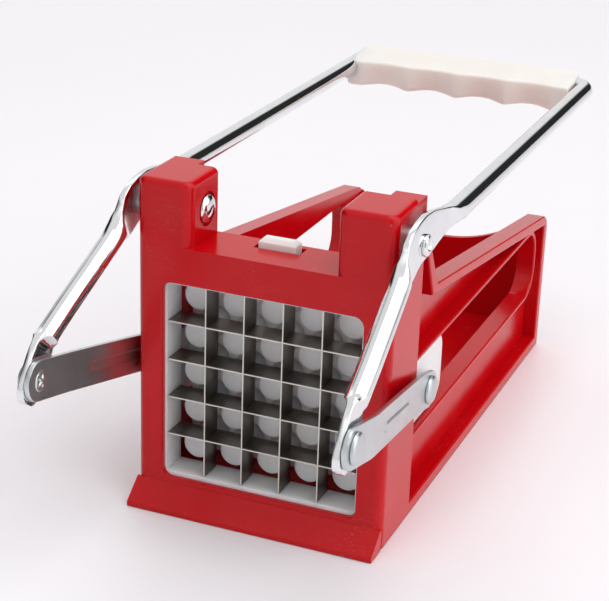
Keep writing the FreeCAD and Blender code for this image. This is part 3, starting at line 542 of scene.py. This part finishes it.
ARM_STATIONS = [
    tail_station(-9.5, 2.6), tail_station(-9.2, 3.6), tail_station(-8.4, 4.9),
    tail_station(-6.8, 6.1), tail_station(-4.0, 7.1), tail_station(0.0, 7.5),
    tail_station(7.0, 7.4), tail_station(10.5, 7.0), tail_station(13.0, 6.4, 0.06),
    (-60.6, 92.9, -52.2, 84.4, 60.3, 0.55, 0.10), (-58.8, 93.4, -52.0, 86.0, 59.95, 1.0, 0.60),
    (-56.6, 94.3, -51.6, 87.0, 59.95, 1.0, 1.0), (-45.2, 100.1, -41.1, 92.5, 59.5, 1.0, 1.0),
    (-22.0, 112.0, -18.0, 104.4, 58.1, 1.0, 1.0), (-12.6, 117.0, -8.6, 109.3, 57.5, 1.0, 1.0),
    (-8.6, 120.2, -4.2, 111.4, 57.3, 0.8, 0.9), (-5.6, 123.6, -0.6, 111.0, PIVOT_X, 0.25, 0.35),
    (-2.6, 128.2, 3.6, 112.0, PIVOT_X, 0.0, 0.05), (2.6, 131.3, 8.0, 114.2, PIVOT_X, 0.0, 0.0),
    (9.0, 133.0, 11.8, 115.6, PIVOT_X, 0.0, 0.0), (16.0, 133.7, 16.8, 116.2, PIVOT_X, 0.0, 0.0),
    (24.0, 133.1, 24.4, 116.8, PIVOT_X, 0.0, 0.0), (32.0, 131.4, 32.2, 118.2, 57.3, 0.0, 0.0),
    (38.5, 130.1, 39.0, 119.6, 57.6, 0.05, 0.0), (42.0, 129.6, 42.6, 120.3, 57.9, 0.35, 0.0),
    (44.5, 129.4, 45.2, 120.5, 58.1, 0.85, 0.0), (47.0, ARM_TOP, 48.0, 120.6, 58.3, 1.0, 0.03),
    (50.0, ARM_TOP, 51.5, ARM_LOW, 58.5, 1.0, 0.25), (53.0, ARM_TOP, 55.0, ARM_LOW, ARM_X, 1.0, 0.75),
    (57.0, ARM_TOP, 59.0, ARM_LOW, ARM_X, 1.0, 1.0), (63.0, ARM_TOP, 63.0, ARM_LOW, ARM_X, 1.0, 1.0),
    (150.0, ARM_TOP, 150.0, ARM_LOW, ARM_X, 1.0, 1.0),
    (ARM_END, ARM_TOP, ARM_END, ARM_LOW, ARM_X, 1.0, 1.0),
]


def arm_ring(station):
    """The ring of one station: its side-view edges, thickness and roundness."""
    upper_y, upper_z, lower_y, lower_z, across, round_top, round_low = station
    ring = []
    for step in range(RING_POINTS):
        turn = math.tau * step / RING_POINTS
        c, s = math.cos(turn), math.sin(turn)
        roundness = round_low + (round_top - round_low) * (0.5 + 0.5 * c)
        soft = roundness * roundness * (3 - 2 * roundness)
        power = 2.0 / (FLAT_POWER + (ROUND_POWER - FLAT_POWER) * soft)
        thick = FLAT_HALF + (TUBE_RADIUS - FLAT_HALF) * soft
        run = math.copysign(abs(c) ** power, c)
        side = math.copysign(abs(s) ** power, s) * thick
        ring.append((across + side, (upper_y + lower_y) / 2 + run * (upper_y - lower_y) / 2,
                     (upper_z + lower_z) / 2 + run * (upper_z - lower_z) / 2))
    return ring


def between_stations(stations, spacing):
    """Extra stations on straight lines, so that gaps along the arm are near the spacing."""
    filled = []
    for first, second in zip(stations, stations[1:]):
        gap = math.dist(first[:2], second[:2])
        parts = max(1, round(gap / spacing))
        for part in range(parts):
            share = part / parts
            filled.append(tuple(a + (b - a) * share for a, b in zip(first, second)))
    filled.append(stations[-1])
    return filled


# %% The bend behind the arms and the whole lever


def bend_ring(turn):
    """A round ring on the quarter bend; turn runs from 0 at the arm to 90 at the bar."""
    angle = math.radians(turn)
    outward = Vector((math.cos(angle), math.sin(angle), 0))
    centre = Vector((ARM_X - BEND, ARM_END, BAR_Z)) + outward * BEND
    ring = []
    for step in range(RING_POINTS):
        around = math.tau * step / RING_POINTS
        upward = Vector((0, 0, TUBE_RADIUS * math.cos(around)))
        ring.append(tuple(centre + upward + outward * TUBE_RADIUS * math.sin(around)))
    return ring


def make_lever():
    half = [arm_ring(station) for station in between_stations(ARM_STATIONS, STATION_GAP)]
    half += [bend_ring(turn) for turn in range(10, 91, 10)]
    other = [[(-x, y, z) for x, y, z in ring] for ring in reversed(half)]
    points, faces = skin(half + other)
    return add_piece("bent_tube", points, faces, "chrome")


lever = make_lever()
settle(lever, "lever", "lever_tube")

# %% [markdown]
# ## Grip
#
# The grip is a moulded bar with a sloping top, four finger hollows that deepen towards its
# lower edge, rounded rear corners and a shallow pocket in each end where the tube goes in.
# It is a skin over sections set across the object.

# %% Outlines with rounded corners


def with_neighbours(corners):
    """Each corner of an outline as a vector, between the ones before and after it."""
    vectors = [Vector(corner) for corner in corners]
    return zip(vectors[-1:] + vectors[:-1], vectors, vectors[1:] + vectors[:1])


def inset(corners, distance):
    """A convex outline, given anticlockwise, moved inwards by a distance."""
    moved = []
    for before, here, after in with_neighbours(corners):
        first, second = (here - before).normalized(), (after - here).normalized()
        inward = Vector((-first.y - second.y, first.x + second.x)).normalized()
        share = inward.dot(Vector((-first.y, first.x)))
        moved.append(tuple(here + inward * distance / share))
    return moved


def rounded_outline(corners, radii, steps=6):
    """Points round a convex outline; every corner gives steps + 1 points."""
    points = []
    for radius, (before, here, after) in zip(radii, with_neighbours(corners)):
        back, forth = (before - here).normalized(), (after - here).normalized()
        half = back.angle(forth) / 2
        reach = radius / math.tan(half)
        start, end = here + back * reach, here + forth * reach
        centre = here + (back + forth).normalized() * radius / math.sin(half)
        sweep = (start - centre).angle_signed(end - centre)
        for step in range(steps + 1):
            turned = (start - centre).copy()
            turned.rotate(Matrix.Rotation(-sweep * step / steps, 2))
            points.append(tuple(centre + turned))
    return points


def slab(axis, corners, radius, start, end, edge):
    """Skin of a slab with soft edges; its outline lies across the x or the y axis."""
    rings = []
    turns = [math.radians(turn) for turn in (0, 30, 60, 90)]
    places = [(start + edge * (1 - math.sin(t)), edge * (1 - math.cos(t))) for t in reversed(turns)]
    places += [(end - edge * (1 - math.sin(t)), edge * (1 - math.cos(t))) for t in turns]
    for place, shrink in places:
        outline = rounded_outline(inset(corners, shrink), [radius - shrink] * len(corners))
        rings.append([(place, u, v) if axis == "x" else (u, place, v) for u, v in outline])
    return skin(rings)


def merge(*skins):
    """One list of points and faces from several."""
    points, faces = [], []
    for more_points, more_faces in skins:
        shift = len(points)
        points += more_points
        faces += [tuple(index + shift for index in face) for face in more_faces]
    return points, faces


# %% Grip sections
GRIP_SKIN = 0.1
grip_low, grip_high = box_mm("grip")
GRIP_LEFT, GRIP_FRONT, GRIP_LOW = (round(value + GRIP_SKIN, 2) for value in grip_low)
GRIP_RIGHT, GRIP_REAR = (round(value - GRIP_SKIN, 2) for value in grip_high[:2])
REAR_TOP, FRONT_TOP, FRONT_MIDDLE = 130.85, 128.75, 122.0
FINGERS, FINGER_PITCH = 4, 25.0
FIRST_FINGER = (GRIP_LEFT + GRIP_RIGHT - (FINGERS - 1) * FINGER_PITCH) / 2
# How far a hollow goes back at its lower edge, middle and upper edge, and up at the lower edge
HOLLOW_BACK, HOLLOW_UP = (3.1, 2.3, 1.3), 1.5
# Corner radii from the lower front round to the middle of the front, the order of the section
GRIP_RADII, LEAST_RADIUS = (3.0, 3.5, 2.5, 1.2, 4.0), 0.3
# The rear corners turn in over this length, and the rear comes forwards by this share of it
END_RADIUS, END_SHARE = 8.0, 0.75
POCKET_DEPTH, POCKET_WALL = 6.0, 2.3
# Distance from the end and how much smaller the section is there, for the soft end edge
SOFT_END = ((0.0, 1.2), (0.16, 0.6), (0.6, 0.16), (1.2, 0.0))
PLAIN_END, GRIP_STEPS = 2.0, 88


def finger_hollow(x):
    """1 in the middle of a finger's hollow and 0 on a ridge and past the last hollow."""
    place = (x - FIRST_FINGER) / FINGER_PITCH
    if place < -0.5 or place > FINGERS - 0.5:
        return 0.0
    wave = math.cos(math.pi * (place - round(place)))
    # The small constant rounds the ridge; the other two bring the result back to 0 to 1
    return (math.sqrt(wave * wave + 0.03) - 0.173) / 0.842


def grip_ring(x, shrink, place=None):
    """The section at x, moved inwards by shrink, drawn at x or at another place."""
    hollow = finger_hollow(x)
    back_low, back_middle, back_top = (GRIP_FRONT + back * hollow for back in HOLLOW_BACK)
    from_end = min(x - GRIP_LEFT, GRIP_RIGHT - x, END_RADIUS)
    turn_in = END_RADIUS - math.sqrt(END_RADIUS ** 2 - (END_RADIUS - from_end) ** 2)
    rear = GRIP_REAR - turn_in * END_SHARE
    corners = [
        (back_low, GRIP_LOW + HOLLOW_UP * hollow), (rear, GRIP_LOW),
        (rear, REAR_TOP - 0.02 * turn_in), (back_top, FRONT_TOP),
        (back_middle - 0.05, FRONT_MIDDLE),
    ]
    radii = [max(radius - shrink * 0.7, LEAST_RADIUS) for radius in GRIP_RADII]
    outline = rounded_outline(inset(corners, shrink), radii)
    return [(x if place is None else place, y, z) for y, z in outline]


def grip_end(end, inwards):
    """Rings from the bottom of an end's pocket over its rim to the plain stretch."""
    rings = [grip_ring(end, POCKET_WALL, end + inwards * POCKET_DEPTH), grip_ring(end, POCKET_WALL)]
    return rings + [grip_ring(end + inwards * reach, shrink) for reach, shrink in SOFT_END]


def make_grip():
    first, last = GRIP_LEFT + PLAIN_END, GRIP_RIGHT - PLAIN_END
    pace = (last - first) / GRIP_STEPS
    rings = grip_end(GRIP_LEFT, 1)
    rings += [grip_ring(first + pace * step, 0.0) for step in range(GRIP_STEPS + 1)]
    rings += reversed(grip_end(GRIP_RIGHT, -1))
    points, faces = skin(rings)
    return add_piece("finger_grip", points, faces, "grip_plastic")


grip = make_grip()
settle(grip, "lever", "grip")

# %% [markdown]
# ## Links
#
# Each link is a flat zinc-plated bar with a set in its length, so that its front end lies on
# the lever and its rear end on the pusher's boss. A long rib is pressed into the middle; it
# stands up outside and leaves a groove inside.

# %% Link bars
SLIDE_PIN = axis_mm("right_rear_rivet")
LINK_HALF, LINK_THICK, LINK_TIP = 7.75, 2.0, 8.55
LINK_EDGE, LINK_STEPS, LINK_COLUMNS = 0.35, 78, 40
RIB_LENGTH, RIB_HALF, RIB_RISE, RIB_FLANK = 40.0, 2.3, 0.8, 0.8
# The groove on the inside is a little shallower than the rib is high
GROOVE_SHARE = 0.7
# The set starts this far behind the front rivet and ends this far before the rear one
SET_START, SET_END = 20.0, 10.0
SET_BLUR = (-3.0, -1.5, 0.0, 1.5, 3.0)

run, rise = SLIDE_PIN[0] - CRANK[0], SLIDE_PIN[1] - CRANK[1]
LINK_LENGTH = math.hypot(run, rise)
LINK_ALONG = (run / LINK_LENGTH, rise / LINK_LENGTH)
LINK_ACROSS = (-LINK_ALONG[1], LINK_ALONG[0])


def rib_height(s, v):
    """Height of the pressed rib at a distance along and across the link."""
    reach = RIB_LENGTH / 2 - RIB_HALF
    away = math.hypot(max(abs(s - LINK_LENGTH / 2) - reach, 0.0), v)
    share = min(max((RIB_HALF - away) / RIB_FLANK, 0.0), 1.0)
    return RIB_RISE * share * share * (3 - 2 * share)


def inner_face(s, front_face, rear_face):
    """Place of the link's inner face, with soft bends at both ends of the set."""
    total = 0.0
    for shift in SET_BLUR:
        share = (s + shift - SET_START) / (LINK_LENGTH - SET_START - SET_END)
        total += front_face + (rear_face - front_face) * min(max(share, 0.0), 1.0)
    return total / len(SET_BLUR)


def link_section(s, half):
    """The section at a distance along the link, as places across it and depths."""
    soft = min(LINK_EDGE, half * 0.4)
    nick = soft * 0.3
    flat = half - soft
    columns = [-flat + flat * 2 * step / LINK_COLUMNS for step in range(LINK_COLUMNS + 1)]
    edge = [(half - nick, LINK_THICK - nick), (half, LINK_THICK - soft), (half, soft), (half - nick, nick)]
    outside = [(v, LINK_THICK + rib_height(s, v)) for v in columns]
    inside = [(v, rib_height(s, v) * GROOVE_SHARE) for v in reversed(columns)]
    return outside + edge + inside + [(-v, depth) for v, depth in reversed(edge)]


def link_rings(sign, front_face, rear_face):
    """Rings along a link, from its front tip to its rear tip."""
    tip = LINK_TIP - LINK_HALF
    turns = [math.radians(turn) for turn in range(6, 90, 7)]
    nose = [(-tip - LINK_HALF * math.cos(t), LINK_HALF * math.sin(t)) for t in turns]
    pace = (LINK_LENGTH + tip * 2) / LINK_STEPS
    places = nose + [(-tip + pace * step, LINK_HALF) for step in range(LINK_STEPS + 1)]
    places += [(LINK_LENGTH - s, half) for s, half in reversed(nose)]
    rings = []
    for s, half in places:
        inner = inner_face(s, front_face, rear_face)
        y, z = CRANK[0] + LINK_ALONG[0] * s, CRANK[1] + LINK_ALONG[1] * s
        rings.append([(sign * (inner + depth), y + LINK_ACROSS[0] * v, z + LINK_ACROSS[1] * v)
                      for v, depth in link_section(s, half)])
    return rings


REAR_FACE = box_mm("right_link")[0][0]
LEFT_FRONT = round(-box_mm("left_link")[0][0] - LINK_THICK, 1)
RIGHT_FRONT = round(box_mm("right_link")[1][0] - LINK_THICK, 1)
for side, sign, front_face in (("left", -1, LEFT_FRONT), ("right", 1, RIGHT_FRONT)):
    points, faces = skin(link_rings(sign, front_face, REAR_FACE))
    bar = add_piece(side + "_link_bar", points, faces, "zinc_plate")
    settle(bar, side + "_link_body", side + "_link")

# %% [markdown]
# ## Rivets and pivot screws
#
# These are turned parts, so each is a profile of distances out and radii, spun round its own
# axis. The inner end of the left front rivet is peened over into a rough star, which is what
# shows in the photograph, so its radius also swells and shrinks round the axis. The profiles
# are written for the right side and mirrored for the left. The washers stay as measured.

# %% Spun parts
SPUN_POINTS = 48
STAR_POINTS, STAR_TURN = 5, 0.6
RIVET_RADIUS, SCREW_RADIUS = 2.5, 2.95
HEAD_RISE, HEAD_RADIUS = 2.05, 5.85
# Shares of a head's rise and radius, from the face it stands on to its middle
DOME = ((0.0, 0.93), (0.06, 0.98), (0.16, 1.0), (0.42, 0.995), (0.62, 0.95), (0.78, 0.86),
        (0.90, 0.70), (0.97, 0.48), (1.0, 0.24), (1.0, 0.0))


def spun(centre, profile):
    """Rings of a part turned across the object; its profile holds x, radius and any swell."""
    rings = []
    for x, radius, *swell in profile:
        wave = swell[0] if swell else 0.0
        ring = []
        for step in range(SPUN_POINTS):
            turn = math.tau * step / SPUN_POINTS
            reach = radius * (1 + wave * math.cos(STAR_POINTS * turn + STAR_TURN))
            ring.append((x, centre[0] + reach * math.cos(turn), centre[1] + reach * math.sin(turn)))
        rings.append(ring)
    return rings


def shank_and_head(start, face):
    """Profile of a rivet's shank up to a face and of the domed head standing on it."""
    dome = [(face + HEAD_RISE * up, HEAD_RADIUS * out) for up, out in DOME]
    return [(start, RIVET_RADIUS), (face, RIVET_RADIUS)] + dome


FRONT_RIGHT = [(57.95, 0), (57.95, 2.9), (58.1, 3.6), (58.4, 4.0), (58.86, 4.1)]
FRONT_RIGHT += shank_and_head(58.88, 64.1)
FRONT_LEFT = [(55.75, 0), (55.75, 0.9, 0.25), (55.95, 1.7, 0.32), (56.3, 2.3, 0.30),
              (56.32, 3.1, 0.06), (56.45, 3.8, 0.03), (56.68, 4.1)]
FRONT_LEFT += shank_and_head(56.7, 61.9)
REAR = [(53.05, 0)] + shank_and_head(53.05, 55.0)
SCREW_TIP = [(27.55, 0), (27.55, 1.5), (27.68, 2.8), (28.0, 4.0), (28.5, 4.95), (29.1, 5.5),
             (29.5, 5.68), (29.9, 5.72), (30.6, 5.72)]
SCREW_HEAD = [(58.84, 4.15), (59.0, 4.27), (59.7, 4.25), (60.2, 4.0), (60.5, 3.5), (60.64, 2.8),
              (60.6, 2.2), (60.3, 1.75), (59.9, 1.55), (59.8, 0.0)]
PIVOT = SCREW_TIP + [(30.62, SCREW_RADIUS), (58.82, SCREW_RADIUS)] + SCREW_HEAD

PIVOT_PLACE = axis_mm("right_pivot_screw")
for name, body, sign, centre, profile, slot in (
        ("right_front_rivet", "lever", 1, CRANK, FRONT_RIGHT, "zinc_plate"),
        ("left_front_rivet", "lever", -1, CRANK, FRONT_LEFT, "zinc_plate"),
        ("right_rear_rivet", "right_link_body", 1, SLIDE_PIN, REAR, "zinc_plate"),
        ("left_rear_rivet", "left_link_body", -1, SLIDE_PIN, REAR, "zinc_plate"),
        ("right_pivot_screw", "body", 1, PIVOT_PLACE, PIVOT, "chrome"),
        ("left_pivot_screw", "body", -1, PIVOT_PLACE, PIVOT, "chrome")):
    on_side = [(x * sign, *rest) for x, *rest in profile]
    points, faces = skin(spun(centre, on_side), closed_ends=False)
    settle(add_piece(name + "_turned", points, faces, slot), body, name)

# %% [markdown]
# ## Pusher
#
# The plate, its two ears and their bosses are soft-edged slabs. The twenty-five pegs repeat,
# so Geometry Nodes sets one rounded peg on a grid. Its inputs are the count, pitch, radius,
# length and rounding, and the result is kept as a plain mesh. The pitch and the grid's middle
# come from the measured blades, because each peg stands in one cell.

# %% Peg grid in Geometry Nodes
PEG_SIDES, PEG_ROWS = 40, 10


def build_peg_grid():
    """A square grid of pegs with rounded tips, joined to the plate that they stand on."""
    group = bpy.data.node_groups.new("peg_grid", "GeometryNodeTree")
    face = group.interface
    face.new_socket(name="Plate", in_out="INPUT", socket_type="NodeSocketGeometry")
    face.new_socket(name="Count", in_out="INPUT", socket_type="NodeSocketInt")
    for label in ("Pitch", "Radius", "Length", "Rounding"):
        face.new_socket(name=label, in_out="INPUT", socket_type="NodeSocketFloat")
    face.new_socket(name="Place", in_out="INPUT", socket_type="NodeSocketVector")
    face.new_socket(name="Material", in_out="INPUT", socket_type="NodeSocketMaterial")
    face.new_socket(name="Geometry", in_out="OUTPUT", socket_type="NodeSocketGeometry")
    given = group.nodes.new("NodeGroupInput").outputs
    end = group.nodes.new("NodeGroupOutput")

    # One peg: the rows of a unit cylinder past the first are folded into its rounded end
    first_row = 1 / PEG_ROWS
    peg = node(group, "GeometryNodeMeshCylinder", Vertices=PEG_SIDES, Side_Segments=PEG_ROWS, Depth=1.0)
    link(group, given["Radius"], peg.inputs["Radius"])
    here = node(group, "ShaderNodeSeparateXYZ")
    link(group, group.nodes.new("GeometryNodeInputPosition").outputs[0], here.inputs[0])
    row = math_node(group, "ADD", here.outputs["Z"], 0.5)
    past = math_node(group, "SUBTRACT", row, first_row)
    angle = math_node(group, "MULTIPLY", past, math.pi / 2 / (1 - first_row))
    angle = math_node(group, "MAXIMUM", angle, 0.0)
    fall = math_node(group, "SUBTRACT", 1.0, math_node(group, "COSINE", angle))
    share = math_node(group, "DIVIDE", given["Rounding"], given["Radius"])
    narrow = math_node(group, "SUBTRACT", 1.0, math_node(group, "MULTIPLY", fall, share))
    straight = math_node(group, "SUBTRACT", given["Length"], given["Rounding"])
    rise = math_node(group, "MULTIPLY", given["Rounding"], math_node(group, "SINE", angle))
    folded = math_node(group, "ADD", straight, rise)
    on_tip = math_node(group, "GREATER_THAN", row, first_row / 2)
    height = math_node(group, "MULTIPLY", folded, on_tip)
    moved = node(group, "ShaderNodeCombineXYZ")
    link(group, math_node(group, "MULTIPLY", here.outputs["X"], narrow), moved.inputs["X"])
    link(group, math_node(group, "MULTIPLY", here.outputs["Y"], narrow), moved.inputs["Y"])
    link(group, height, moved.inputs["Z"])
    shaped = node(group, "GeometryNodeSetPosition")
    link(group, peg.outputs["Mesh"], shaped.inputs["Geometry"])
    link(group, moved.outputs[0], shaped.inputs["Position"])

    # The grid lies flat with the pegs pointing up, then all of it is tipped to face forwards
    grid = node(group, "GeometryNodeMeshGrid")
    gaps = math_node(group, "SUBTRACT", given["Count"], 1.0)
    for side in ("X", "Y"):
        link(group, math_node(group, "MULTIPLY", gaps, given["Pitch"]), grid.inputs["Size " + side])
        link(group, given["Count"], grid.inputs["Vertices " + side])
    scatter = node(group, "GeometryNodeInstanceOnPoints")
    link(group, grid.outputs["Mesh"], scatter.inputs["Points"])
    link(group, shaped.outputs["Geometry"], scatter.inputs["Instance"])
    tipped = node(group, "GeometryNodeTransform")
    tipped.inputs["Rotation"].default_value = (math.radians(90), 0, 0)
    link(group, scatter.outputs["Instances"], tipped.inputs["Geometry"])
    link(group, given["Place"], tipped.inputs["Translation"])
    real = node(group, "GeometryNodeRealizeInstances")
    link(group, tipped.outputs["Geometry"], real.inputs["Geometry"])
    joined = node(group, "GeometryNodeJoinGeometry")
    link(group, real.outputs["Geometry"], joined.inputs["Geometry"])
    link(group, given["Plate"], joined.inputs["Geometry"])
    coated = node(group, "GeometryNodeSetMaterial")
    link(group, joined.outputs["Geometry"], coated.inputs["Geometry"])
    link(group, given["Material"], coated.inputs["Material"])
    link(group, coated.outputs["Geometry"], end.inputs["Geometry"])
    return group


def grown(item, group, **values):
    """Runs a Geometry Nodes group on an object and keeps the result as its plain mesh."""
    modifier = item.modifiers.new("grow", "NODES")
    modifier.node_group = group
    inputs = [entry for entry in group.interface.items_tree if entry.in_out == "INPUT"]
    sockets = {entry.name: entry.identifier for entry in inputs}
    for name, value in values.items():
        modifier[sockets[name]] = value
    item.update_tag()
    bpy.context.view_layer.update()
    graph = bpy.context.evaluated_depsgraph_get()
    mesh = bpy.data.meshes.new_from_object(
        item.evaluated_get(graph), preserve_all_data_layers=True, depsgraph=graph)
    item.modifiers.remove(modifier)
    item.data = mesh
    mesh.name = item.name
    mesh.polygons.foreach_set("use_smooth", [True] * len(mesh.polygons))


# %% Plate, ears and bosses
PLATE_FRONT, PLATE_REAR = 30.6, 34.6
PEG_RADIUS, PEG_LENGTH, PEG_TIP, PEG_ROOT = 6.04, 17.5, 0.9, 0.5
EAR_SIDES, STUB_SIDES = (44.65, 50.2), (41.3, 45.6)
# The boss turned on each ear, where the link's rear end sits
BOSS = [(48.0, 0), (48.0, 4.5), (52.4, 4.5), (52.6, 4.4), (52.68, 4.2), (52.68, 0)]

first_blade, last_blade = box_mm("blade_upright_1"), box_mm("blade_upright_4")
# Pegs in a row; the blades between them are one fewer and have one gap fewer still
PEG_COUNT = 5
PEG_PITCH = round((last_blade[0][0] - first_blade[0][0]) / (PEG_COUNT - 2), 2)
GRID_MIDDLE = round((first_blade[0][2] + first_blade[1][2]) / 2, 2)


def rectangle(left, low, right, high):
    return [(left, low), (right, low), (right, high), (left, high)]


PLATE = rectangle(-43.2, 11.4, 43.2, 92.5)
EAR = rectangle(15.6, 36.6, 73.5, 66.2)
STUB = rectangle(31.0, 45.6, 43.6, 57.2)


def make_pusher():
    """The plate, and on each side an ear, the stub that carries it and its boss."""
    parts = [slab("y", PLATE, 2.5, PLATE_FRONT, PLATE_REAR, 0.6)]
    for sign in (1, -1):
        parts.append(slab("x", EAR, 8.0, *sorted(sign * side for side in EAR_SIDES), 0.8))
        parts.append(slab("x", STUB, 1.5, *sorted(sign * side for side in STUB_SIDES), 0.1))
        rings = spun(SLIDE_PIN, [(x * sign, radius) for x, radius in BOSS])
        parts.append(skin(rings, closed_ends=False))
    points, faces = merge(*parts)
    return add_piece("peg_plate", points, faces, "white_plastic")


pusher = make_pusher()
grown(pusher, build_peg_grid(), Count=PEG_COUNT, Pitch=PEG_PITCH * mm, Radius=PEG_RADIUS * mm,
      Length=PEG_LENGTH * mm, Rounding=PEG_TIP * mm,
      Place=(0.0, (PLATE_FRONT + PEG_ROOT) * mm, GRID_MIDDLE * mm), Material=FINISHES["white_plastic"])
settle(pusher, "pusher_body", "pusher")

# %% [markdown]
# ## Floor
#
# The table is a pale, faintly pink sweep with soft shadows. One large sheet is enough,
# because the camera looks down and never sees its edge.

# %% Table
def paper():
    material, tree, shader = finish("paper_sweep", Roughness=0.45)
    cloud = use_group(tree, CLOUD, Scale=2.5)
    colour = mix_colour(tree, cloud, (0.90, 0.875, 0.905), (0.92, 0.90, 0.93))
    link(tree, colour, shader.inputs["Base Color"])
    return material


def flat_sheet(name, half, height):
    """A level square, with its half width and height in metres."""
    mesh = bpy.data.meshes.new(name)
    corners = [(-half, -half, height), (half, -half, height), (half, half, height), (-half, half, height)]
    mesh.from_pydata(corners, [], [(0, 1, 2, 3)])
    item = bpy.data.objects.new(name, mesh)
    scene.collection.objects.link(item)
    return item


table = flat_sheet("table", half=12.0, height=-0.0003)
table.data.materials.append(paper())
